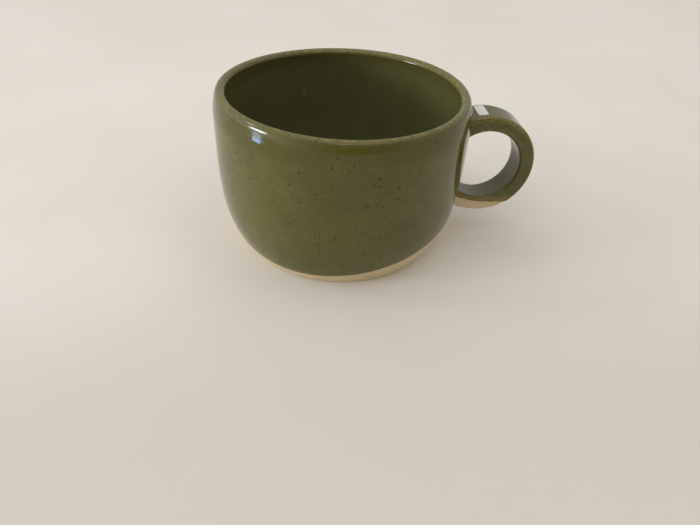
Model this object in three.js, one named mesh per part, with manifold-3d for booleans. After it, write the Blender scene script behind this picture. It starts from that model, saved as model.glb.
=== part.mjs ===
// A wheel-thrown cappuccino cup with a ring handle: clay pieces, slip joints and glaze coats.
// Millimetres, +Z up. The origin is the middle of the foot and the handle points along +X.
import * as THREE from 'three';
import { mergeVertices } from 'three/addons/utils/BufferGeometryUtils.js';
import Module from 'manifold-3d';

// Thrown body, measured on the bare clay
const BODY_HEIGHT = 68.1;
const RIM_RADIUS = 52.2;
const BELLY_RADIUS = 53.3;
// The wall is widest this far below the rim
const BELLY_DROP = 8.8;
const FOOT_RADIUS = 43.5;
const FOOT_BEVEL = 0.8;
// How tightly the outside turns in to the foot, and the inside to the floor
const TUCK_POWER = 4.25;
const HEEL_POWER = 5;
const WALL_THICKNESS = 3.6;
const FLOOR_THICKNESS = 6.5;
// Clay left between outside and inside at the level of the floor
const HEEL_THICKNESS = 12;

// Glaze coats
const GLAZE_THICKNESS = 0.4;
const COAT_CLEARANCE = 0.05;
const SEAM_CLEARANCE = 0.1;
// The foot is wiped clean this far above its bevel before firing
const FOOT_WIPE = 0.7;
// The dip line runs round the wall from a low side up to a high stretch on the far side
const DIP_LINE_LOW = 4.3;
const DIP_LINE_HIGH = 19.5;
const DIP_LOW_SIDE = THREE.MathUtils.degToRad(-122);
const DIP_SPREAD = THREE.MathUtils.degToRad(130);

// Ring handle: a slice of a slightly oval clay tube
const RING_HALF_WIDTH = 22.2;
const RING_HALF_HEIGHT = 22.8;
const STRAP_THICKNESS = 5.7;
const STRAP_WIDTH = 14;
const STRAP_BEVEL = 0.8;
// Middle of the ring: out from the belly that it is bonded to, and up from half the body's height
const RING_STAND_OFF = 10.3;
const RING_RISE = 1;
// The ring's glaze stops this far below the bottom of the finger hole
const HANDLE_LINE_DROP = 0.8;

// Slip joints between ring and wall
const SLIP_THICKNESS = 0.8;
const SLIP_SPREAD = 0.8;
const PIECE_GAP = 0.3;

// Blank patch on top of the ring, set back from its crest towards the wall
const PATCH_LENGTH = 4.4;
const PATCH_WIDTH = 10;
const PATCH_THICKNESS = 0.25;
const PATCH_SET_BACK = 3.8;
const PATCH_CLEARANCE = 0.1;

// Facets
const TURN_STEPS = 56;
const TUCK_STEPS = 8;
const UPPER_STEPS = 2;
const LIP_STEPS = 4;
const HEEL_STEPS = 8;
const RING_STEPS = 24;
const BEVEL_STEPS = 2;
const PATCH_STEPS = 4;
const MERGE_TOLERANCE = 1e-4;

// Finishes seen on the cup
const OLIVE_GLAZE = { color: 0x57542f, roughness: 0.18, metalness: 0 };
const LINER_GLAZE = { color: 0x4c4b28, roughness: 0.18, metalness: 0 };
const BUFF_CLAY = { color: 0xa8937a, roughness: 0.85, metalness: 0 };
const DARK_SLIP = { color: 0x6b5c3f, roughness: 0.6, metalness: 0 };
const WHITE_PATCH = { color: 0xe4e2da, roughness: 0.5, metalness: 0 };

// Sizes that follow from the ones above
const lipRadius = WALL_THICKNESS / 2;
const lipHeight = BODY_HEIGHT - lipRadius;
const bellyHeight = BODY_HEIGHT - BELLY_DROP;
const wipeHeight = FOOT_BEVEL + FOOT_WIPE;
const coatOutside = COAT_CLEARANCE + GLAZE_THICKNESS;
const slipOutside = PIECE_GAP + SLIP_THICKNESS;
const ringStart = slipOutside + PIECE_GAP;
const holeHalfWidth = RING_HALF_WIDTH - STRAP_THICKNESS;
const holeHalfHeight = RING_HALF_HEIGHT - STRAP_THICKNESS;
const ringX = BELLY_RADIUS + RING_STAND_OFF;
const ringZ = BODY_HEIGHT / 2 + RING_RISE;
// Side of the blocks that cut half spaces, larger than the whole cup
const cutterSize = 4 * (ringX + RING_HALF_WIDTH + BODY_HEIGHT);

const wasm = await Module();
wasm.setup();

// Turns a closed geometry into a solid that can be cut and joined.
function solidFrom(geometry) {
  geometry.deleteAttribute('normal');
  geometry.deleteAttribute('uv');
  const merged = mergeVertices(geometry, MERGE_TOLERANCE);
  const index = merged.index.array;
  const triangles = [];
  for (let i = 0; i < index.length; i += 3) {
    const [a, b, c] = [index[i], index[i + 1], index[i + 2]];
    const isFlat = a === b || b === c || c === a;
    if (!isFlat) {
      triangles.push(a, b, c);
    }
  }
  const vertProperties = merged.attributes.position.array;
  const triVerts = new Uint32Array(triangles);
  return new wasm.Manifold(new wasm.Mesh({ numProp: 3, vertProperties, triVerts }));
}

function geometryFrom(solid) {
  const mesh = solid.getMesh();
  const geometry = new THREE.BufferGeometry();
  geometry.setAttribute('position', new THREE.BufferAttribute(mesh.vertProperties, 3));
  geometry.setIndex(new THREE.BufferAttribute(mesh.triVerts, 1));
  geometry.computeVertexNormals();
  return geometry;
}

// Turns a profile of (radius, height) points about the cup's upright axis.
function turnedGeometry(profile) {
  const lathe = new THREE.LatheGeometry(profile, TURN_STEPS);
  lathe.rotateX(Math.PI / 2);
  return lathe;
}

function turned(profile) {
  return solidFrom(turnedGeometry(profile));
}

function steps(from, to, count) {
  return Array.from({ length: count + 1 }, (_, i) => from + ((to - from) * i) / count);
}

function closed(profile) {
  return [...profile, profile[0]];
}

// Outside radius of the bare clay at a height.
function wallRadius(z) {
  if (z < bellyHeight) {
    return BELLY_RADIUS - (BELLY_RADIUS - FOOT_RADIUS) * (1 - z / bellyHeight) ** TUCK_POWER;
  }
  const rise = (z - bellyHeight) / (lipHeight - bellyHeight);
  return BELLY_RADIUS - (BELLY_RADIUS - RIM_RADIUS) * rise ** 2;
}

// Inside radius of the bare clay: a steady wall that thickens to the heel at the floor.
function innerRadius(z) {
  const depth = Math.max(0, 1 - (z - FLOOR_THICKNESS) / (bellyHeight - FLOOR_THICKNESS));
  const heel = (HEEL_THICKNESS - WALL_THICKNESS) * depth ** HEEL_POWER;
  return wallRadius(z) - WALL_THICKNESS - heel;
}

// Outside of the wall from the wiped foot up to the lip's middle, moved outwards by an offset.
function wallPath(offset) {
  const low = steps(wipeHeight, bellyHeight, TUCK_STEPS);
  const high = steps(bellyHeight, lipHeight, UPPER_STEPS).slice(1);
  return [...low, ...high].map((z) => new THREE.Vector2(wallRadius(z) + offset, z));
}

// Half round of the lip, from its outside over the top to its inside.
function lipPath(offset) {
  const middle = RIM_RADIUS - lipRadius;
  const reach = lipRadius + offset;
  return steps(0, Math.PI, LIP_STEPS)
    .slice(1)
    .map((a) => new THREE.Vector2(middle + reach * Math.cos(a), lipHeight + reach * Math.sin(a)));
}

// Inside of the wall from a height down to the floor and in to the axis, moved inwards by an offset.
function insidePath(offset, fromHeight) {
  const floor = FLOOR_THICKNESS + offset;
  const high = steps(fromHeight, bellyHeight, UPPER_STEPS);
  const low = steps(bellyHeight, floor, HEEL_STEPS).slice(1);
  const wall = [...high, ...low].map((z) => new THREE.Vector2(innerRadius(z) - offset, z));
  return [...wall, new THREE.Vector2(0, floor)];
}

// Solid cup shape without its hollow, grown by an offset: everything the wall takes up.
function cupPlug(offset) {
  const top = BODY_HEIGHT + offset;
  const foot = [new THREE.Vector2(0, 0), new THREE.Vector2(wallRadius(0) + offset, 0)];
  const lid = [new THREE.Vector2(RIM_RADIUS + offset, top), new THREE.Vector2(0, top)];
  return turned([...foot, ...wallPath(offset), ...lid]);
}

// The whole ring before the wall cuts it open, grown all round by an offset.
function wholeRing(offset) {
  const outline = new THREE.Shape();
  outline.absellipse(0, 0, RING_HALF_WIDTH + offset, RING_HALF_HEIGHT + offset, 0, 2 * Math.PI);
  const hole = new THREE.Path();
  hole.absellipse(0, 0, holeHalfWidth - offset, holeHalfHeight - offset, 0, 2 * Math.PI, true);
  outline.holes.push(hole);
  const bevel = STRAP_BEVEL + offset;
  const depth = STRAP_WIDTH - 2 * STRAP_BEVEL;
  const ring = new THREE.ExtrudeGeometry(outline, {
    depth,
    curveSegments: RING_STEPS,
    bevelThickness: bevel,
    bevelSize: bevel,
    bevelOffset: -bevel,
    bevelSegments: BEVEL_STEPS,
  });
  ring.translate(0, 0, -depth / 2);
  ring.rotateX(Math.PI / 2);
  ring.translate(ringX, 0, ringZ);
  return solidFrom(ring);
}

// Block that fills everything below a height.
function below(height) {
  const block = new THREE.BoxGeometry(cutterSize, cutterSize, cutterSize);
  block.translate(0, 0, height - cutterSize / 2);
  return solidFrom(block);
}

// Height of the dip line at an angle about the cup's axis.
function dipLineHeight(angle) {
  const turn = angle - DIP_LOW_SIDE;
  const fromLowSide = Math.abs(Math.atan2(Math.sin(turn), Math.cos(turn)));
  const share = THREE.MathUtils.smoothstep(fromLowSide, 0, DIP_SPREAD);
  return THREE.MathUtils.lerp(DIP_LINE_LOW, DIP_LINE_HIGH, share);
}

// Thick washer round the wall whose top face follows the dip line.
function belowDipLine() {
  const inside = FOOT_RADIUS / 2;
  const outside = 2 * BELLY_RADIUS;
  const washer = turnedGeometry(closed([
    new THREE.Vector2(inside, -BODY_HEIGHT),
    new THREE.Vector2(outside, -BODY_HEIGHT),
    new THREE.Vector2(outside, BODY_HEIGHT),
    new THREE.Vector2(inside, BODY_HEIGHT),
  ]));
  const points = washer.attributes.position;
  for (let i = 0; i < points.count; i += 1) {
    if (points.getZ(i) > 0) {
      points.setZ(i, dipLineHeight(Math.atan2(points.getY(i), points.getX(i))));
    }
  }
  return solidFrom(washer);
}

function cupBody() {
  const foot = [
    new THREE.Vector2(0, 0),
    new THREE.Vector2(wallRadius(FOOT_BEVEL) - FOOT_BEVEL, 0),
    new THREE.Vector2(wallRadius(FOOT_BEVEL), FOOT_BEVEL),
  ];
  const outside = [...wallPath(0), ...lipPath(0)];
  const inside = insidePath(0, lipHeight).slice(1);
  return turned([...foot, ...outside, ...inside]);
}

function innerGlaze() {
  const top = lipHeight - SEAM_CLEARANCE;
  const surface = insidePath(coatOutside, top);
  const back = insidePath(COAT_CLEARANCE, top);
  return turned([...back.reverse(), ...surface]);
}

function outerGlaze() {
  const surface = [...wallPath(coatOutside), ...lipPath(coatOutside)];
  const back = [...wallPath(COAT_CLEARANCE), ...lipPath(COAT_CLEARANCE)];
  const coat = turned(closed([...surface, ...back.reverse()]));
  const windows = wholeRing(SLIP_SPREAD + PIECE_GAP);
  return coat.subtract(windows).subtract(belowDipLine());
}

function handleRing() {
  return wholeRing(0).subtract(cupPlug(ringStart));
}

// Slip between the ring's ends and the wall, at both ends.
function slipLayer() {
  const surface = wallPath(slipOutside);
  const back = wallPath(PIECE_GAP);
  const shell = turned(closed([...surface, ...back.reverse()]));
  return shell.intersect(wholeRing(SLIP_SPREAD));
}

function upperSlipJoint() {
  return slipLayer().subtract(below(ringZ + PIECE_GAP / 2));
}

function lowerSlipJoint() {
  return slipLayer().intersect(below(ringZ - PIECE_GAP / 2));
}

function handleGlaze() {
  const coat = wholeRing(coatOutside).subtract(wholeRing(COAT_CLEARANCE));
  const bareClay = below(ringZ - holeHalfHeight - HANDLE_LINE_DROP);
  return coat.subtract(cupPlug(ringStart)).subtract(bareClay);
}

// Thin curved rectangle that lies on the ring's glaze.
function markPatch() {
  const back = coatOutside + PATCH_CLEARANCE;
  const face = back + PATCH_THICKNESS;
  const middle = Math.PI / 2 + PATCH_SET_BACK / RING_HALF_WIDTH;
  const half = PATCH_LENGTH / RING_HALF_WIDTH / 2;
  const outline = new THREE.Shape();
  outline.absellipse(
    0, 0, RING_HALF_WIDTH + face, RING_HALF_HEIGHT + face, middle - half, middle + half,
  );
  outline.absellipse(
    0, 0, RING_HALF_WIDTH + back, RING_HALF_HEIGHT + back, middle + half, middle - half, true,
  );
  const patch = new THREE.ExtrudeGeometry(outline, {
    depth: PATCH_WIDTH,
    curveSegments: PATCH_STEPS,
    bevelEnabled: false,
  });
  patch.translate(0, 0, -PATCH_WIDTH / 2);
  patch.rotateX(Math.PI / 2);
  patch.translate(ringX, 0, ringZ);
  return solidFrom(patch);
}

function piece(name, solid, finish) {
  const mesh = new THREE.Mesh(geometryFrom(solid), new THREE.MeshStandardMaterial(finish));
  mesh.name = name;
  return mesh;
}

const cup = new THREE.Group();
cup.add(
  piece('cup_body', cupBody(), BUFF_CLAY),
  piece('inner_glaze', innerGlaze(), LINER_GLAZE),
  piece('outer_glaze', outerGlaze(), OLIVE_GLAZE),
  piece('handle_ring', handleRing(), BUFF_CLAY),
  piece('upper_slip_joint', upperSlipJoint(), DARK_SLIP),
  piece('lower_slip_joint', lowerSlipJoint(), DARK_SLIP),
  piece('handle_glaze', handleGlaze(), OLIVE_GLAZE),
  piece('mark_patch', markPatch(), WHITE_PATCH),
);

export default cup;
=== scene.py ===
import math

import bmesh
import bpy
from mathutils import Matrix, Vector, noise


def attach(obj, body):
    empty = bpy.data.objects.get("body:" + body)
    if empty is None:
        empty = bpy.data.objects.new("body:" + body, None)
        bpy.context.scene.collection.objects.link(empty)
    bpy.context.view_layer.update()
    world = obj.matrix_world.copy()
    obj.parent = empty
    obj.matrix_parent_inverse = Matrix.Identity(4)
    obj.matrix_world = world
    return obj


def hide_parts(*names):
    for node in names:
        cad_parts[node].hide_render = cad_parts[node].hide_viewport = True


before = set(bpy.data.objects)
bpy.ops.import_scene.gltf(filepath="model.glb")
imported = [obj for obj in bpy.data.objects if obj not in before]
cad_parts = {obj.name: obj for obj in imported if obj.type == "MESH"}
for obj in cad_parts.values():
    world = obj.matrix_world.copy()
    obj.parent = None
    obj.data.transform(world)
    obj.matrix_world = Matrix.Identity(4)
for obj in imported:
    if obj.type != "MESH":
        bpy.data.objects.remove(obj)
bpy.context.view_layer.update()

MM = 0.001

# Thrown body as in the solids, millimetres on the bare clay
BODY_HEIGHT = 68.1
RIM_RADIUS = 52.2
BELLY_RADIUS = 53.3
BELLY_DROP = 8.8
BELLY_HEIGHT = BODY_HEIGHT - BELLY_DROP
FOOT_RADIUS = 43.5
FOOT_BEVEL = 0.8
TUCK_POWER = 4.25
HEEL_POWER = 5
WALL_THICKNESS = 3.6
FLOOR_THICKNESS = 6.5
HEEL_THICKNESS = 12
LIP_RADIUS = WALL_THICKNESS / 2
LIP_HEIGHT = BODY_HEIGHT - LIP_RADIUS
SHOULDER_HEIGHT = LIP_HEIGHT - BELLY_HEIGHT
# Reach of the lip's curves: up its outer edge, across its crest and up its inner edge
LIP_EDGE = 1.2
LIP_FLAT = 1.1
LIP_INSIDE = 0.9

# Glaze coats and the lines where they stop
COAT_CLEARANCE = 0.05
GLAZE_THICKNESS = 0.4
COAT_OUTSIDE = COAT_CLEARANCE + GLAZE_THICKNESS
DIP_LINE_LOW = 4.3
DIP_LINE_HIGH = 19.5
DIP_LOW_SIDE = math.radians(-122)
DIP_SPREAD = math.radians(130)
# Height of the line's waves, radius of the circle of noise that they follow, and their seed
DIP_WAVE = 0.35
DIP_WAVE_CIRCLE = 3
DIP_WAVE_SEED = 7
# Width over which the coat rounds off at its edge, its share of thickness there, and rows of points
EDGE_WIDTH = 1.1
EDGE_START = 0.14
EDGE_ROWS = (0, 0.04, 0.12, 0.25, 0.45, 0.75)
HANDLE_LINE = 17.15
# From this distance inwards the handle's line climbs to the wall
HANDLE_LINE_TURN = 64.6
HANDLE_LINE_SLOPE = 0.22
HANDLE_LINE_WAVE = 0.25
HANDLE_WAVE_LENGTH = 4
HANDLE_WAVE_SEED = 11
# Least glaze left between that line and the finger hole
HOLE_MARGIN = 0.5

# Thinness of the glaze, which the material turns brown. On the lip it grows between two upward slants
# of the surface, above the lines where the coats stop it fades between two distances, and on the
# strap's corners it grows between two heights
LIP_THIN = 0.8
LIP_OUTER_SLANTS = (0.6, 0.97)
LIP_INNER_SLANTS = (0.25, 0.8)
DIP_THIN = 0.45
DIP_THIN_REACH = (0.1, 0.9)
LINE_THIN = 1.7
LINE_THIN_REACH = (0.8, 4.5)
LOW_CORNER_THIN = 0.2
# Slants of the finger hole's bottom, where the coat stays thick
HOLE_BOTTOM_SLANTS = (0.45, 0.85)

# Ring handle as in the solids
RING_HALF_WIDTH = 22.2
RING_HALF_HEIGHT = 22.8
RING_REACH = 10.3
RING_X = BELLY_RADIUS + RING_REACH
RING_LIFT = 1
RING_Z = BODY_HEIGHT / 2 + RING_LIFT
CORNER_THIN_HEIGHTS = (RING_Z + 6, RING_Z + 20)
STRAP_THICKNESS = 5.7
STRAP_WIDTH = 14
STRAP_ROUND = 1.1
RING_START = 1.4
# The outside of the ring swells a little towards its upper joint, its underside is a little flat,
# and the bottom of its hole is raised along the front and towards the wall
UPPER_SWELL = 0.8
LOWER_FLAT = 0.4
HOLE_RISE_FRONT = 1.2
HOLE_RISE_WALL = 0.6
# Where each begins and is full: nearness to the wall or to the bottom, from -1 to 1 across the ring
SWELL_ZONE = (-0.27, 0.46)
FLAT_ZONE = (0.9, 1)
RISE_ZONE = (0.6, 0.95)
RISE_WALL_ZONE = (-0.2, 0.45)
# Slip between ring and wall: its fillet, how far behind the wall's face the glaze over it starts,
# its lap round the strap and its gap to the ring's end
SLIP_FILLET = 1.6
FILLET_SINK = 0.15
SLIP_LAP = 0.02
SLIP_GAP = 0.05

# Blank patch on the ring's glaze
PATCH_LENGTH = 4.1
PATCH_WIDTH = 10
PATCH_SET_BACK = 3.8
PATCH_CLEARANCE = 0.02
PATCH_RISE = 0.3
PATCH_BACK = COAT_OUTSIDE + PATCH_CLEARANCE
PATCH_FACE = COAT_OUTSIDE + PATCH_RISE
# Its corners are drawn in by this share, and the power keeps its sides straight
PATCH_CORNER = 0.035
PATCH_CORNER_POWER = 8

# Unevenness left by the potter's hands
HAND_SWAY = 0.16
SWAY_RATE = 1.7
SWAY_HEIGHT = 45
# The rim is slightly saddle-shaped: high on two opposite sides
RIM_DIP = 0.64
RIM_HIGH_SIDE = math.radians(26.5)
# The ridges inside fade by a share between two heights and end below the lip, and from the floor up
# to the heel's height they turn from lying on the floor to standing on the wall
THROWING_RIDGE = 0.12
THROWING_PITCH = 5.2
RIDGE_FADE = 0.75
RIDGE_FADE_HEIGHTS = (15, 50)
RIDGE_LIP_GAP = 6
RIDGE_HEEL = 8
# The grooves underneath fade between two distances from the foot's edge
TRIM_GROOVE = 0.07
TRIM_PITCH = 2.6
TRIM_EDGE = (0.5, 4)
# Radius about the axis within which ridges and grooves fade
CALM_MIDDLE = 3
STRAP_SWAY = 0.09
STRAP_SWAY_LENGTH = 9

# Mesh density and tolerances
TURN_STEPS = 192
WALL_STEP = 1.0
LIP_STEPS = 9
BEVEL_STEPS = 5
RING_STEPS = 132
CORNER_STEPS = 6
FLAT_STEP = 1.1
FILLET_STEPS = 7
PATCH_STEPS = 14
HALVINGS = 36
SHARP_ANGLE = math.radians(50)
MERGE_DISTANCE = 1e-5
CUT_TOLERANCE = 1e-4


def steps(start, end, count):
    return [start + (end - start) * i / count for i in range(count + 1)]


def smooth(value, low, high):
    share = min(max((value - low) / (high - low), 0), 1)
    return share * share * (3 - 2 * share)


def share_of(wave):
    """Turns a wave from -1 to 1 into a share from 0 to 1."""
    return 0.5 + 0.5 * wave


# Shape of the thrown cup

def wall_radius(z):
    if z < BELLY_HEIGHT:
        tuck = (1 - max(z, 0) / BELLY_HEIGHT) ** TUCK_POWER
        return BELLY_RADIUS - (BELLY_RADIUS - FOOT_RADIUS) * tuck
    rise = (z - BELLY_HEIGHT) / SHOULDER_HEIGHT
    return BELLY_RADIUS - (BELLY_RADIUS - RIM_RADIUS) * rise ** 2


def inner_radius(z):
    depth = max(0, 1 - (z - FLOOR_THICKNESS) / (BELLY_HEIGHT - FLOOR_THICKNESS))
    heel = (HEEL_THICKNESS - WALL_THICKNESS) * depth ** HEEL_POWER
    return wall_radius(z) - WALL_THICKNESS - heel


def dip_line(angle):
    """Height of the glaze edge on the wall at an angle about the cup's axis."""
    turn = angle - DIP_LOW_SIDE
    from_low_side = abs(math.atan2(math.sin(turn), math.cos(turn)))
    share = smooth(from_low_side, 0, DIP_SPREAD)
    circle = (DIP_WAVE_CIRCLE * math.cos(angle), DIP_WAVE_CIRCLE * math.sin(angle), DIP_WAVE_SEED)
    wave = noise.noise(Vector(circle))
    return DIP_LINE_LOW + (DIP_LINE_HIGH - DIP_LINE_LOW) * share + DIP_WAVE * wave


def edge_bead(distance):
    """Share of the full coat thickness at a distance from the coat's edge."""
    share = min(max(distance / EDGE_WIDTH, 0), 1)
    return EDGE_START + (1 - EDGE_START) * math.sqrt(1 - (1 - share) ** 2)


def thrown(angle, radius, z):
    """Place of a turned point after the slow unevenness of throwing, which only ever pulls inwards."""
    around = Vector((math.cos(angle), math.sin(angle), z / SWAY_HEIGHT))
    sway = share_of(noise.noise(SWAY_RATE * around))
    dip = share_of(-math.cos(2 * (angle - RIM_HIGH_SIDE)))
    radius -= HAND_SWAY * sway * radius / RIM_RADIUS
    z -= RIM_DIP * dip * smooth(z, 0, LIP_HEIGHT)
    return Vector((radius * math.cos(angle), radius * math.sin(angle), z))


def throwing_groove(angle, radius, z):
    """Depth of the spiral groove that fingers leave between ridges inside the cup, deepest low down."""
    corner = inner_radius(FLOOR_THICKNESS)
    run = z + (corner - min(radius, corner))
    groove = share_of(math.cos(2 * math.pi * run / THROWING_PITCH - angle))
    left_over = 1 - RIDGE_FADE * smooth(z, *RIDGE_FADE_HEIGHTS)
    return THROWING_RIDGE * groove * left_over * smooth(LIP_HEIGHT - z, 0, RIDGE_LIP_GAP)


# Profiles of the turned pieces, as (radius, height, thinness of the glaze)

def wall_tilt(z):
    """Angle by which the shoulder below the lip leans inwards."""
    rise = max(0, z - BELLY_HEIGHT) / SHOULDER_HEIGHT
    return math.atan(2 * (BELLY_RADIUS - RIM_RADIUS) * rise / SHOULDER_HEIGHT)


def lip_curves():
    """Outer and inner half of the lip: curves that leave the wall at its slope and meet on the crest."""
    tilt = wall_tilt(LIP_HEIGHT)
    along_wall = Vector((-math.sin(tilt), math.cos(tilt)))
    outside = Vector((RIM_RADIUS, LIP_HEIGHT))
    crest = Vector((RIM_RADIUS - LIP_RADIUS, BODY_HEIGHT))
    inside = Vector((RIM_RADIUS - WALL_THICKNESS, LIP_HEIGHT))
    level = Vector((1, 0))
    outer = (outside, outside + LIP_EDGE * along_wall, crest + LIP_FLAT * level, crest)
    inner = (crest, crest - LIP_FLAT * level, inside + LIP_INSIDE * along_wall, inside)
    return outer, inner


def curve_point(curve, t):
    """Point of a cubic curve with four control points, and the direction out of the clay there."""
    a, b, c, d = curve
    s = 1 - t
    point = s ** 3 * a + 3 * s * s * t * b + 3 * s * t * t * c + t ** 3 * d
    forward = (s * s * (b - a) + 2 * s * t * (c - b) + t * t * (d - c)).normalized()
    return point, Vector((forward.y, -forward.x))


def lip_profile(offset):
    rows = []
    outer, inner = lip_curves()
    for curve, thin_slants in ((outer, LIP_OUTER_SLANTS), (inner, LIP_INNER_SLANTS)):
        for t in steps(0, 1, LIP_STEPS)[1:]:
            point, normal = curve_point(curve, t)
            thin = LIP_THIN * smooth(normal.y, *thin_slants)
            rows.append((point.x + offset * normal.x, point.y + offset * normal.y, thin))
    return rows


def wall_profile(offset, low):
    count = round((LIP_HEIGHT - FOOT_BEVEL) / WALL_STEP)
    rows = []
    for z in steps(low, LIP_HEIGHT, count):
        tilt = wall_tilt(z)
        rows.append((wall_radius(z) + offset * math.cos(tilt), z + offset * math.sin(tilt), 0))
    return rows


def inside_profile(offset):
    floor = FLOOR_THICKNESS + offset
    count = round((LIP_HEIGHT - floor) / WALL_STEP)
    rows = [(inner_radius(z) - offset, z, 0) for z in steps(LIP_HEIGHT, floor, count)]
    corner = rows[-1][0]
    return rows + [(r, floor, 0) for r in steps(corner, 0, round(corner / WALL_STEP))[1:]]


def ridged_profile(offset, angle):
    """Inside profile with ridges, where the grooves between them go into the wall and the floor."""
    floor = FLOOR_THICKNESS + offset
    rows = []
    for radius, z, thin in inside_profile(offset):
        groove = throwing_groove(angle, radius, z)
        on_wall = smooth(z, floor, floor + RIDGE_HEEL)
        sunk = groove * (1 - on_wall) * smooth(radius, 0, CALM_MIDDLE)
        rows.append((max(0, radius + groove * on_wall), z - sunk, thin))
    return rows


def body_profile(angle):
    foot_edge = wall_radius(FOOT_BEVEL) - FOOT_BEVEL
    rows = []
    for r in steps(0, foot_edge, round(foot_edge / WALL_STEP)):
        groove = share_of(-math.cos(2 * math.pi * r / TRIM_PITCH + angle))
        z = TRIM_GROOVE * groove * smooth(foot_edge - r, *TRIM_EDGE) * smooth(r, 0, CALM_MIDDLE)
        rows.append((r, z, 0))
    for a in steps(0, math.pi / 2, BEVEL_STEPS)[1:-1]:
        rows.append((foot_edge + FOOT_BEVEL * math.sin(a), FOOT_BEVEL * (1 - math.cos(a)), 0))
    rows += wall_profile(0, FOOT_BEVEL) + lip_profile(0)
    return rows + inside_profile(0)[1:]


def outer_profile(angle):
    line = dip_line(angle)
    surface = []
    for distance in EDGE_ROWS:
        z = line + distance
        offset = COAT_CLEARANCE + GLAZE_THICKNESS * edge_bead(distance)
        thin = DIP_THIN * (1 - smooth(distance, *DIP_THIN_REACH))
        surface.append((wall_radius(z) + offset, z, thin))
    surface += wall_profile(COAT_OUTSIDE, line + EDGE_WIDTH) + lip_profile(COAT_OUTSIDE)
    back = wall_profile(COAT_CLEARANCE, line) + lip_profile(COAT_CLEARANCE)
    return surface + back[::-1]


def inner_profile(angle):
    surface = ridged_profile(COAT_OUTSIDE, angle)
    back = inside_profile(COAT_CLEARANCE)
    return surface[::-1] + back


# Mesh building

def finish_mesh(name, bm):
    """Turns a mesh drawn in millimetres into a smooth-shaded object in metres."""
    bmesh.ops.recalc_face_normals(bm, faces=bm.faces[:])
    bm.transform(Matrix.Scale(MM, 4))
    for face in bm.faces:
        face.smooth = True
    for edge in bm.edges:
        if edge.is_manifold and edge.calc_face_angle() > SHARP_ANGLE:
            edge.smooth = False
    mesh = bpy.data.meshes.new(name)
    bm.to_mesh(mesh)
    bm.free()
    obj = bpy.data.objects.new(name, mesh)
    bpy.context.scene.collection.objects.link(obj)
    return obj


def join_rows(bm, rows, is_closed):
    """Skins neighbouring rows of points with quads; a closed row meets its own start."""
    count = len(rows[0])
    for one, two in zip(rows, rows[1:]):
        for j in range(count if is_closed else count - 1):
            k = (j + 1) % count
            bm.faces.new((one[j], two[j], two[k], one[k]))


def turned(name, profile_at, is_closed):
    """Skins the profiles that profile_at gives at every turning step."""
    bm = bmesh.new()
    thin_layer = bm.verts.layers.float.new("thin")
    columns = []
    for angle in steps(0, 2 * math.pi, TURN_STEPS)[:-1]:
        column = []
        for radius, z, thin in profile_at(angle):
            vert = bm.verts.new(thrown(angle, radius, z))
            vert[thin_layer] = thin
            column.append(vert)
        columns.append(column)
    join_rows(bm, columns + columns[:1], is_closed)
    bmesh.ops.remove_doubles(bm, verts=bm.verts[:], dist=MERGE_DISTANCE)
    return finish_mesh(name, bm)


def cap(bm, row):
    middle = sum((v.co for v in row), Vector()) / len(row)
    hub = bm.verts.new(middle)
    for one, two in zip(row, row[1:] + row[:1]):
        bm.faces.new((one, two, hub))


def capped_tube(name, bm, rows):
    join_rows(bm, rows, True)
    cap(bm, rows[0])
    cap(bm, rows[-1])
    return finish_mesh(name, bm)


def thicken(bm, depth):
    """Closes an open surface into a shell by a copy, sunk by a depth, and a wall along its edges."""
    bm.normal_update()
    surface = bm.faces[:]
    rim = [edge for edge in bm.edges if edge.is_boundary]
    twin = {vert: bm.verts.new(vert.co - depth(vert) * vert.normal) for vert in bm.verts[:]}
    for edge in rim:
        loop = edge.link_loops[0]
        one, two = loop.vert, loop.link_loop_next.vert
        bm.faces.new((two, one, twin[one], twin[two]))
        edge.smooth = False
    for face in surface:
        bm.faces.new([twin[vert] for vert in reversed(face.verts)])


# Shape of the ring handle

def strap_section():
    """Round-cornered outline of the strap: (out, side), outward direction and nearness to a corner."""
    low = STRAP_ROUND - STRAP_THICKNESS
    high = -STRAP_ROUND
    reach = STRAP_WIDTH / 2 - STRAP_ROUND
    corners = [(high, reach, 0), (low, reach, 90), (low, -reach, 180), (high, -reach, 270)]
    rounded = []
    for out, side, start in corners:
        for a in steps(math.radians(start), math.radians(start + 90), CORNER_STEPS):
            direction = (math.cos(a), math.sin(a))
            place = (out + STRAP_ROUND * direction[0], side + STRAP_ROUND * direction[1])
            rounded.append((*place, *direction, 1))
    section = []
    for one, two in zip(rounded, rounded[1:] + rounded[:1]):
        section.append(one)
        gap = math.hypot(two[0] - one[0], two[1] - one[1])
        pieces = round(gap / FLAT_STEP)
        for i in range(1, pieces):
            share = i / pieces
            out = one[0] + (two[0] - one[0]) * share
            side = one[1] + (two[1] - one[1]) * share
            section.append((out, side, one[2], one[3], 0))
    return section


SECTION = strap_section()
# Angles about the ring's middle of its highest and its lowest point
UPPER = math.pi / 2
LOWER = 1.5 * math.pi


def hand_shaping(angle, out, side):
    """How far a point of the ring stands out from a plain round strap."""
    inside = min(max(-out / STRAP_THICKNESS, 0), 1)
    up = math.sin(angle)
    to_wall = -math.cos(angle)
    if up > 0:
        return UPPER_SWELL * smooth(to_wall, *SWELL_ZONE) * (1 - inside)
    front = 0.5 - side / STRAP_WIDTH
    rise = HOLE_RISE_FRONT * front + HOLE_RISE_WALL * (1 - front) * smooth(to_wall, *RISE_WALL_ZONE)
    flat = LOWER_FLAT * smooth(-up, *FLAT_ZONE)
    return -flat * (1 - inside) - rise * inside * smooth(-up, *RISE_ZONE)


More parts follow.
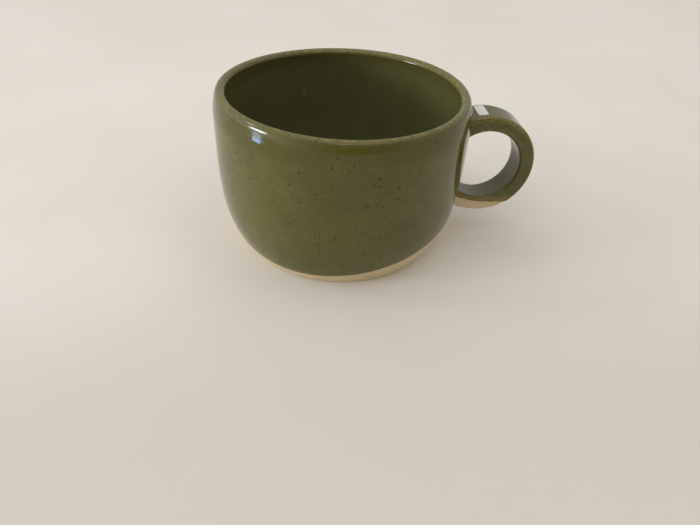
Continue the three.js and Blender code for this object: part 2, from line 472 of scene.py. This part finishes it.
def ring_point(angle, out, side):
    """Point at an angle about the ring's middle, some way out from the ring's outer clay face."""
    out += hand_shaping(angle, out, side)
    x = RING_X + (RING_HALF_WIDTH + out) * math.cos(angle)
    z = RING_Z + (RING_HALF_HEIGHT + out) * math.sin(angle)
    return Vector((x, side, z))


def wall_angle(out, side, distance, outer_angle):
    """Angle at which a line along the ring is a given distance off the clay wall."""
    near, far = outer_angle, math.pi
    for _ in range(HALVINGS):
        middle = (near + far) / 2
        point = ring_point(middle, out, side)
        if math.hypot(point.x, point.y) - wall_radius(point.z) > distance:
            near = middle
        else:
            far = middle
    return near


def section_row(bm, grow, distance, end):
    """One outline of the strap, grown all round, at a distance off the wall."""
    row = []
    for out, side, to_out, to_side, _ in SECTION:
        out += grow * to_out
        side += grow * to_side
        row.append(bm.verts.new(ring_point(wall_angle(out, side, distance, end), out, side)))
    return row


def strap_sway(point):
    return -STRAP_SWAY * share_of(noise.noise(point / STRAP_SWAY_LENGTH))


def corner_thinness(corner, z):
    """Thinness of the glaze on the strap's corners, which show more towards the top of the ring."""
    return corner * (LOW_CORNER_THIN + (1 - LOW_CORNER_THIN) * smooth(z, *CORNER_THIN_HEIGHTS))


def middle_rows(bm, distance, thin_layer=None):
    """Outlines along the ring from one end to the other, both at a distance off the wall."""
    ends = []
    for out, side, *_ in SECTION:
        ends.append((wall_angle(out, side, distance, UPPER), wall_angle(out, side, distance, LOWER)))
    rows = []
    for share in steps(0, 1, RING_STEPS):
        row = []
        for (out, side, to_out, to_side, corner), (first, last) in zip(SECTION, ends):
            # Angles run from the upper end over the outside of the ring to the lower end
            turn = first + (last - 2 * math.pi - first) * share
            sway = strap_sway(ring_point(turn, out, side))
            vert = bm.verts.new(ring_point(turn, out + sway * to_out, side + sway * to_side))
            if thin_layer:
                vert[thin_layer] = corner_thinness(corner, vert.co.z)
            row.append(vert)
        rows.append(row)
    return rows


def fillet_places():
    """(distance off the wall, growth of the section) along the fillet, wall first."""
    places = [(-FILLET_SINK, SLIP_FILLET)]
    for a in steps(0, math.pi / 2, FILLET_STEPS):
        places.append((SLIP_FILLET * (1 - math.cos(a)), SLIP_FILLET * (1 - math.sin(a))))
    return places


def hole_bottom(x):
    """Height of the clay along the bottom of the finger hole."""
    along = min(abs(x - RING_X) / (RING_HALF_WIDTH - STRAP_THICKNESS), 1)
    return RING_Z - (RING_HALF_HEIGHT - STRAP_THICKNESS) * math.sqrt(1 - along ** 2)


def handle_line(x, y):
    """Height of the glaze edge on the ring, always a little below the finger hole."""
    place = Vector((x / HANDLE_WAVE_LENGTH, y / HANDLE_WAVE_LENGTH, HANDLE_WAVE_SEED))
    wave = HANDLE_LINE_WAVE * noise.noise(place)
    line = HANDLE_LINE + HANDLE_LINE_SLOPE * max(0, HANDLE_LINE_TURN - x) + wave
    return min(line, hole_bottom(x) - HOLE_MARGIN)


def make_handle_ring():
    bm = bmesh.new()
    return capped_tube("handle_clay", bm, middle_rows(bm, RING_START))


def make_slip_joint(name, end):
    """Solid plug of slip between wall and ring, with a hollow fillet squeezed out all round."""
    bm = bmesh.new()
    rows = [section_row(bm, grow, distance, end) for distance, grow in fillet_places()[1:-1]]
    rows.append(section_row(bm, SLIP_LAP, SLIP_FILLET, end))
    rows.append(section_row(bm, SLIP_LAP / 2, RING_START - SLIP_GAP, end))
    return capped_tube(name, bm, rows)


def cut_at_handle_line(bm):
    """Removes the surface below the handle's glaze line and adds rows of edges just above it."""
    for vert in bm.verts:
        vert.co.z -= handle_line(vert.co.x, vert.co.y)
    for distance in (*EDGE_ROWS, EDGE_WIDTH):
        everything = bm.verts[:] + bm.edges[:] + bm.faces[:]
        bmesh.ops.bisect_plane(
            bm, geom=everything, dist=CUT_TOLERANCE, plane_co=(0, 0, distance), plane_no=(0, 0, 1),
            clear_inner=distance == 0,
        )
    for vert in bm.verts:
        vert.co.z += handle_line(vert.co.x, vert.co.y)


def make_handle_glaze():
    bm = bmesh.new()
    thin_layer = bm.verts.layers.float.new("thin")
    places = fillet_places()[:-1]
    start = [section_row(bm, grow, distance, UPPER) for distance, grow in places]
    end = [section_row(bm, grow, distance, LOWER) for distance, grow in places]
    rows = start + middle_rows(bm, SLIP_FILLET, thin_layer) + end[::-1]
    join_rows(bm, rows, True)
    bmesh.ops.recalc_face_normals(bm, faces=bm.faces[:])
    cut_at_handle_line(bm)
    bm.normal_update()
    coat = {}
    for vert in bm.verts:
        above = vert.co.z - handle_line(vert.co.x, vert.co.y)
        coat[vert] = GLAZE_THICKNESS * edge_bead(above)
        # The coat thins towards its line, but not in the finger hole
        line_thin = LINE_THIN * (1 - smooth(above, *LINE_THIN_REACH))
        line_thin *= 1 - smooth(vert.normal.z, *HOLE_BOTTOM_SLANTS)
        vert[thin_layer] = max(vert[thin_layer], line_thin)
    for vert in bm.verts:
        vert.co += (COAT_CLEARANCE + coat[vert]) * vert.normal
    thicken(bm, lambda vert: coat[vert])
    return finish_mesh("handle_coat", bm)


def patch_point(p, q, out):
    """Point of the patch; p and q run from -1 to 1 along its length and width."""
    pulled = p * (1 - PATCH_CORNER * q ** PATCH_CORNER_POWER)
    middle = math.pi / 2 + PATCH_SET_BACK / RING_HALF_WIDTH
    angle = middle + pulled * PATCH_LENGTH / 2 / RING_HALF_WIDTH
    side = q * (1 - PATCH_CORNER * p ** PATCH_CORNER_POWER) * PATCH_WIDTH / 2
    base = ring_point(angle, 0, side)
    return ring_point(angle, out + strap_sway(base), side)


def make_patch():
    bm = bmesh.new()
    rows = []
    for p in steps(-1, 1, PATCH_STEPS):
        rows.append([bm.verts.new(patch_point(p, q, PATCH_FACE)) for q in steps(-1, 1, PATCH_STEPS)])
    join_rows(bm, rows, False)
    bmesh.ops.recalc_face_normals(bm, faces=bm.faces[:])
    if sum(face.normal.z for face in bm.faces) < 0:
        bmesh.ops.reverse_faces(bm, faces=bm.faces[:])
    thicken(bm, lambda vert: PATCH_FACE - PATCH_BACK)
    return finish_mesh("blank_patch", bm)


# Shader nodes

def put(tree, socket, value):
    """Links a socket to another one, or sets its plain value."""
    if isinstance(value, bpy.types.NodeSocket):
        tree.links.new(value, socket)
    else:
        socket.default_value = value


def math_node(tree, operation, one, two):
    node = tree.nodes.new("ShaderNodeMath")
    node.operation = operation
    put(tree, node.inputs[0], one)
    put(tree, node.inputs[1], two)
    return node.outputs[0]


class Graph:
    """Short calls for building the nodes of one material."""

    def __init__(self, name):
        self.material = bpy.data.materials.new(name)
        self.material.use_nodes = True
        self.tree = self.material.node_tree
        self.shader = self.tree.nodes["Principled BSDF"]
        self.place = self.tree.nodes.new("ShaderNodeTexCoord").outputs["Object"]

    def put(self, socket, value):
        put(self.tree, socket, value)

    def calc(self, operation, one, two):
        return math_node(self.tree, operation, one, two)

    def shade(self, **values):
        for name, value in values.items():
            self.put(self.shader.inputs[name.replace("_", " ")], value)

    def noise(self, size, detail=3, roughness=0.5):
        """Noise from 0 to 1 with features of about a size in millimetres."""
        node = self.tree.nodes.new("ShaderNodeTexNoise")
        self.put(node.inputs["Vector"], self.place)
        node.inputs["Scale"].default_value = 1 / (size * MM)
        node.inputs["Detail"].default_value = detail
        node.inputs["Roughness"].default_value = roughness
        return node.outputs["Fac"]

    def remap(self, value, low, high, to_low=0.0, to_high=1.0):
        node = self.tree.nodes.new("ShaderNodeMapRange")
        node.interpolation_type = "SMOOTHSTEP"
        for name, entry in zip(("Value", "From Min", "From Max", "To Min", "To Max"),
                               (value, low, high, to_low, to_high)):
            self.put(node.inputs[name], entry)
        return node.outputs["Result"]

    def mix(self, share, one, two):
        node = self.tree.nodes.new("ShaderNodeMix")
        node.data_type = "RGBA"
        self.put(node.inputs[0], share)
        for socket, value in ((node.inputs[6], one), (node.inputs[7], two)):
            is_plain = isinstance(value, tuple)
            self.put(socket, (*value, 1) if is_plain else value)
        return node.outputs[2]

    def scattered(self, spacing, grown_from, radii):
        """Distance to the nearest of many scattered points, and that point's radius, both in spacings.

        A random number gives the radius, which grows only above grown_from.
        """
        node = self.tree.nodes.new("ShaderNodeTexVoronoi")
        self.put(node.inputs["Vector"], self.place)
        node.inputs["Scale"].default_value = 1 / (spacing * MM)
        channels = self.tree.nodes.new("ShaderNodeSeparateColor")
        self.put(channels.inputs[0], node.outputs["Color"])
        return node.outputs["Distance"], self.remap(channels.outputs[0], grown_from, 1.0, *radii)

    def dots(self, distance, radius, fade, strength):
        """Mask of round dots, each fading out between two shares of its radius."""
        return self.remap(self.calc("DIVIDE", distance, radius), *fade, strength, 0.0)

    def axis(self, name):
        node = self.tree.nodes.new("ShaderNodeSeparateXYZ")
        self.put(node.inputs[0], self.place)
        return node.outputs[name]

    def attribute(self, name):
        node = self.tree.nodes.new("ShaderNodeAttribute")
        node.attribute_name = name
        return node.outputs["Fac"]

    def bump(self, height, depth, below=None):
        """Bump whose height of 1 stands for a depth in millimetres."""
        node = self.tree.nodes.new("ShaderNodeBump")
        node.inputs["Distance"].default_value = depth * MM
        self.put(node.inputs["Height"], height)
        if below:
            self.put(node.inputs["Normal"], below)
        return node.outputs["Normal"]


# Colours, linear light
OLIVE = (0.105, 0.098, 0.0205)
OLIVE_DEEP = (0.080, 0.0745, 0.0155)
OLIVE_MILKY = (0.123, 0.115, 0.029)
LINER = (0.099, 0.099, 0.037)
LINER_DEEP = (0.085, 0.085, 0.032)
LINER_LIP = (0.098, 0.088, 0.030)
# Painted shade: a darker band below the lip that stands in for the dim room's reflection in the shoulder
PAINTED_LIP_SHADE = (0.072, 0.060, 0.007)
THIN_OLIVE = (0.145, 0.129, 0.026)
THIN_BROWN = (0.205, 0.150, 0.034)
EDGE_BROWN = (0.19, 0.12, 0.030)
IRON_SPOT = (0.023, 0.016, 0.0)
BUFF = (0.645, 0.52, 0.315)
BUFF_PALE = (0.715, 0.60, 0.39)
BUFF_WARM = (0.59, 0.467, 0.268)
CLAY_SPECK = (0.16, 0.10, 0.05)
SLIP_STAIN = (0.20, 0.15, 0.07)
PATCH_WHITE = (0.74, 0.73, 0.69)
PATCH_SHADE = (0.66, 0.65, 0.60)
FLOOR_PALE = (0.71, 0.672, 0.62)
FLOOR_SHADE = (0.68, 0.645, 0.592)
# Painted shadow: the greyer paper towards the camera
FLOOR_PAINTED_SHADOW = (0.60, 0.56, 0.508)

# Parts of the noise's range over which a colour changes and over which a roughness changes
COLOUR_SPAN = (0.35, 0.65)
ROUGH_SPAN = (0.3, 0.7)
GLAZE_IOR = 1.45
GLAZE_ROUGHNESS = (0.07, 0.13)
CLAY_ROUGHNESS = (0.75, 0.92)
SLIP_ROUGHNESS = (0.65, 0.9)
PATCH_ROUGHNESS = (0.4, 0.6)
FLOOR_ROUGHNESS = 0.9
# Heights, in metres, between which the painted shade band below the lip and the liner's lip colour come
# in
PAINTED_SHADE_HEIGHTS = (59.5 * MM, 65 * MM)
PAINTED_SHADE_WAVE = 6 * MM
PAINTED_SHADE_SHARE = 0.55
LINER_LIP_HEIGHTS = (58 * MM, 66 * MM)
# Spacing in millimetres, random number above which a spot grows, and least and largest radius in
# spacings; the liner's spots are faint
LARGE_SPOTS = (1.9, 0.1, (0.03, 0.235))
SMALL_SPOTS = (1.2, 0.4, (0.01, 0.2))
CLAY_SPECKS = (2.2, 0.5, (0.01, 0.12))
LINER_SPOT_SHARE = 0.35
# Places along Y, in metres, between which a painted shadow greys the floor towards the camera
FLOOR_SHADOW_PLACES = (-20 * MM, -120 * MM)


def iron_speckles(graph):
    """Mask of scattered iron spots of many sizes, a few large and many small, in loose clusters."""
    cluster = graph.remap(graph.noise(16, 2), *COLOUR_SPAN, 0.75, 1.2)
    distance, radius = graph.scattered(*LARGE_SPOTS)
    # Noise in the distance makes the large spots ragged
    ragged = graph.remap(graph.noise(0.7, 2), 0.2, 0.8, -0.06, 0.06)
    distance = graph.calc("ADD", distance, ragged)
    large = graph.dots(distance, graph.calc("MULTIPLY", radius, cluster), (0.55, 1.25), 0.88)
    small = graph.dots(*graph.scattered(*SMALL_SPOTS), (0.5, 1.4), 0.55)
    return graph.calc("MAXIMUM", large, small)


def mottled(graph, deep, plain):
    """Two shades of glaze, mixed in slow clouds and fine grains."""
    cloud = graph.remap(graph.noise(22, 5, 0.6), *COLOUR_SPAN, -0.1, 0.7)
    grain = graph.remap(graph.noise(1.1, 3, 0.6), *COLOUR_SPAN, -0.25, 0.55)
    return graph.mix(graph.calc("ADD", cloud, grain), deep, plain)


def finish_glaze(graph, colour, thin, spot_share):
    """Adds the iron spots and the glossy, slightly rippled surface, livelier where the coat is thin."""
    spots = graph.calc("MULTIPLY", iron_speckles(graph), spot_share)
    colour = graph.mix(spots, colour, IRON_SPOT)
    ripple = graph.bump(graph.noise(2.4, 2), 0.02)
    grains = graph.calc("MULTIPLY", graph.noise(0.9, 2), thin)
    ripple = graph.bump(grains, 0.09, ripple)
    pits = graph.bump(graph.calc("SUBTRACT", 1.0, spots), 0.012, ripple)
    graph.shade(
        Base_Color=colour, Normal=pits, IOR=GLAZE_IOR,
        Roughness=graph.remap(graph.noise(5), *ROUGH_SPAN, *GLAZE_ROUGHNESS),
    )
    return graph.material


def broken_glaze(graph, colour, thin):
    """Lets the clay show through where the coat is thin: olive, then brown, then rust along the lines."""
    breaking = graph.noise(1.4)
    wear = graph.calc("MULTIPLY", graph.calc("POWER", thin, 2.0), 0.16)
    browning = graph.calc("ADD", breaking, wear)
    broken = graph.mix(graph.remap(browning, 0.64, 0.78), THIN_OLIVE, THIN_BROWN)
    patchy = graph.remap(breaking, 0.42, 0.58, 1.0, 0.3)
    rust = graph.calc("MULTIPLY", graph.remap(thin, 0.9, 1.6), patchy)
    broken = graph.mix(rust, broken, EDGE_BROWN)
    share = graph.calc("MULTIPLY", thin, graph.remap(breaking, 0.4, 0.62, 0.3, 1.0))
    return graph.mix(share, colour, broken)


def glaze_material():
    graph = Graph("olive_speckled_glaze")
    colour = mottled(graph, OLIVE_DEEP, OLIVE)
    milky = graph.remap(graph.noise(9, 5, 0.6), 0.5, 0.75, 0.0, 0.6)
    colour = graph.mix(milky, colour, OLIVE_MILKY)
    # Painted shade: the glaze is darkened in a band below the lip in place of the dim room's reflection
    uneven = graph.calc("MULTIPLY", graph.noise(7), PAINTED_SHADE_WAVE)
    height = graph.calc("ADD", graph.axis("Z"), uneven)
    painted_shade = graph.remap(height, *PAINTED_SHADE_HEIGHTS, 0.0, PAINTED_SHADE_SHARE)
    colour = graph.mix(painted_shade, colour, PAINTED_LIP_SHADE)
    thin = graph.attribute("thin")
    colour = broken_glaze(graph, colour, thin)
    return finish_glaze(graph, colour, thin, 1.0)


def liner_material():
    graph = Graph("olive_liner_glaze")
    colour = mottled(graph, LINER_DEEP, LINER)
    near_lip = graph.remap(graph.axis("Z"), *LINER_LIP_HEIGHTS)
    colour = graph.mix(near_lip, colour, LINER_LIP)
    return finish_glaze(graph, colour, 0.0, LINER_SPOT_SHARE)


def clay_material():
    graph = Graph("bare_buff_clay")
    colour = graph.mix(graph.remap(graph.noise(14, 4), *COLOUR_SPAN), BUFF_WARM, BUFF)
    colour = graph.mix(graph.remap(graph.noise(0.9, 4, 0.7), 0.45, 0.75), colour, BUFF_PALE)
    specks = graph.dots(*graph.scattered(*CLAY_SPECKS), (0.5, 1.3), 0.8)
    colour = graph.mix(specks, colour, CLAY_SPECK)
    graph.shade(
        Base_Color=colour, Normal=graph.bump(graph.noise(0.5, 4, 0.7), 0.05),
        Roughness=graph.remap(graph.noise(3), *ROUGH_SPAN, *CLAY_ROUGHNESS),
    )
    return graph.material


def slip_material():
    graph = Graph("stained_slip")
    colour = graph.mix(graph.remap(graph.noise(2.5, 4), 0.4, 0.7), BUFF, BUFF_WARM)
    colour = graph.mix(graph.remap(graph.noise(4), 0.45, 0.7, 0.0, 0.5), colour, SLIP_STAIN)
    graph.shade(
        Base_Color=colour, Normal=graph.bump(graph.noise(0.6, 4, 0.7), 0.06),
        Roughness=graph.remap(graph.noise(3), *ROUGH_SPAN, *SLIP_ROUGHNESS),
    )
    return graph.material


def patch_material():
    graph = Graph("blank_white_patch")
    colour = graph.mix(graph.remap(graph.noise(1.2, 4, 0.6), 0.4, 0.7), PATCH_WHITE, PATCH_SHADE)
    graph.shade(
        Base_Color=colour, Normal=graph.bump(graph.noise(0.4), 0.02),
        Roughness=graph.remap(graph.noise(2, 2), *ROUGH_SPAN, *PATCH_ROUGHNESS),
    )
    return graph.material


def floor_material():
    graph = Graph("pale_paper_floor")
    colour = graph.mix(graph.remap(graph.noise(120, 4), *COLOUR_SPAN), FLOOR_PALE, FLOOR_SHADE)
    # Painted shadow: towards the camera the paper is greyer, in place of the shade cast by someone at the
    # camera
    colour = graph.mix(graph.remap(graph.axis("Y"), *FLOOR_SHADOW_PLACES), colour, FLOOR_PAINTED_SHADOW)
    graph.shade(
        Base_Color=colour, Normal=graph.bump(graph.noise(40), 0.4), Roughness=FLOOR_ROUGHNESS,
    )
    return graph.material


# Putting the pieces together

def place(obj, node, slot, material):
    obj.data.materials.append(material)
    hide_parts(node)
    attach(obj, "root")


def make_cup():
    clay = clay_material()
    glaze = glaze_material()
    slip = slip_material()
    place(turned("thrown_body", body_profile, False), "cup_body", "clay", clay)
    place(turned("inner_coat", inner_profile, False), "inner_glaze", "liner", liner_material())
    place(turned("outer_coat", outer_profile, True), "outer_glaze", "glaze", glaze)
    place(make_handle_ring(), "handle_ring", "clay", clay)
    place(make_slip_joint("upper_fillet", UPPER), "upper_slip_joint", "slip", slip)
    place(make_slip_joint("lower_fillet", LOWER), "lower_slip_joint", "slip", slip)
    place(make_handle_glaze(), "handle_glaze", "glaze", glaze)
    place(make_patch(), "mark_patch", "patch", patch_material())


# Floor and light, metres and watts

FLOOR_HALF = 4.0
FLOOR_CELLS = 8
# The room is evenly bright, but brighter or dimmer around some directions
ROOM_COLOUR = (1.0, 0.975, 0.94, 1)
AMBIENT = 0.515
BACKDROP = 0.72
# Direction, change of brightness and narrowness of each
LEFT_GLOW = ((-0.99, -0.08, 0.10), 1.3, 3)
RIGHT_GLOW = ((0.9, 0.1, 0.42), 0.25, 5)
CEILING_GLOW = ((-0.05, -0.4, 0.91), 0.5, 7)
OVERHEAD_GLOW = ((0.0, 0.2, 0.98), 0.6, 4)
CAMERA_SHADE = ((0.1, -0.99, 0.1), -0.45, 4)
SIDES = (LEFT_GLOW, RIGHT_GLOW, CEILING_GLOW, OVERHEAD_GLOW, CAMERA_SHADE)
# Lamps face the middle of the cup, or the part of its shoulder that mirrors the low window
CUP_MIDDLE = (0, 0, 0.06)
SHOULDER_SPOT = (-0.034, -0.041, 0.064)
DAYLIGHT = (0.92, 0.96, 1.0)
WARM_LIGHT = (1.0, 0.95, 0.88)
SKY_BLUE = (0.4, 0.54, 1.0)
DIM_SKY = (0.55, 0.75, 0.95)
# Place, target, width and height, colour, power and beam angle in degrees of each lamp
LAMPS = {
    # The window's beam is narrow, so that the floor below it stays as pale as elsewhere
    "window": ((-1.05, -0.24, 0.23), CUP_MIDDLE, (0.3, 0.15), DAYLIGHT, 0.72, 80),
    "window_top": ((-0.9, 0.1, 0.65), CUP_MIDDLE, (0.13, 0.06), DAYLIGHT, 0.9, 180),
    "ceiling": ((0.25, -0.8, 0.95), CUP_MIDDLE, (1.0, 0.02), WARM_LIGHT, 0.9, 180),
    # A low window whose lower pane shows blue sky and whose upper pane is dim
    "low_sky": ((-0.279, -0.091, 0.023), SHOULDER_SPOT, (0.040, 0.028), SKY_BLUE, 0.0037, 50),
    "low_pane": ((-0.279, -0.091, 0.053), SHOULDER_SPOT, (0.044, 0.030), DIM_SKY, 0.0021, 50),
}


def make_floor():
    bm = bmesh.new()
    bmesh.ops.create_grid(bm, x_segments=FLOOR_CELLS, y_segments=FLOOR_CELLS, size=FLOOR_HALF / MM)
    floor = finish_mesh("paper_floor", bm)
    floor.data.materials.append(floor_material())


def add_side_light(tree, level, side, change, focus):
    """Nodes that change the room's brightness around one direction; level is a number or a socket."""
    direction = tree.nodes.new("ShaderNodeTexCoord").outputs["Generated"]
    towards = tree.nodes.new("ShaderNodeVectorMath")
    towards.operation = "DOT_PRODUCT"
    towards.inputs[1].default_value = side
    tree.links.new(direction, towards.inputs[0])
    result = towards.outputs["Value"]
    for operation, value in (("MAXIMUM", 0), ("POWER", focus), ("MULTIPLY", change), ("ADD", level)):
        result = math_node(tree, operation, result, value)
    return result


def make_world():
    world = bpy.data.worlds.new("soft_room")
    bpy.context.scene.world = world
    world.use_nodes = True
    tree = world.node_tree
    background = tree.nodes["Background"]
    background.inputs["Color"].default_value = ROOM_COLOUR
    level = AMBIENT
    for side in SIDES:
        level = add_side_light(tree, level, *side)
    # Seen directly, the room is a plain pale backdrop
    is_seen = tree.nodes.new("ShaderNodeLightPath").outputs["Is Camera Ray"]
    backdrop = tree.nodes.new("ShaderNodeMix")
    tree.links.new(is_seen, backdrop.inputs["Factor"])
    tree.links.new(level, backdrop.inputs["A"])
    backdrop.inputs["B"].default_value = BACKDROP
    tree.links.new(backdrop.outputs["Result"], background.inputs["Strength"])


def make_lamp(name, centre, target, size, colour, power, beam):
    lamp = bpy.data.lights.new(name, "AREA")
    lamp.shape = "RECTANGLE"
    lamp.size, lamp.size_y = size
    lamp.spread = math.radians(beam)
    lamp.color = colour
    lamp.energy = power
    obj = bpy.data.objects.new(name, lamp)
    obj.location = centre
    obj.rotation_euler = (Vector(target) - Vector(centre)).to_track_quat("-Z", "Y").to_euler()
    bpy.context.scene.collection.objects.link(obj)


def make_light():
    make_world()
    for name, lamp in LAMPS.items():
        make_lamp(name, *lamp)


# Camera at the photo's place: eye in millimetres, focal length in pixels of the image

CAMERA_EYE = Vector((-20.88, -231.0, 154.24))
CAMERA_YAW = math.radians(6.811)
CAMERA_PITCH = math.radians(37.308)
CAMERA_ROLL = math.radians(3.34)
FOCAL_PIXELS = 576
IMAGE_WIDTH = 700
SENSOR_WIDTH = 36
CLIP_START = 0.01


def make_camera():
    data = bpy.data.cameras.new("photo_camera")
    data.sensor_width = SENSOR_WIDTH
    data.lens = FOCAL_PIXELS * SENSOR_WIDTH / IMAGE_WIDTH
    data.clip_start = CLIP_START
    camera = bpy.data.objects.new("photo_camera", data)
    heading = Matrix.Rotation(-CAMERA_YAW, 4, "Z")
    tilt = Matrix.Rotation(math.pi / 2 - CAMERA_PITCH, 4, "X")
    roll = Matrix.Rotation(CAMERA_ROLL, 4, "Z")
    camera.matrix_world = Matrix.Translation(CAMERA_EYE * MM) @ heading @ tilt @ roll
    bpy.context.scene.collection.objects.link(camera)
    bpy.context.scene.camera = camera


make_cup()
make_floor()
make_light()
make_camera()
bpy.context.scene.view_settings.view_transform = "Standard"
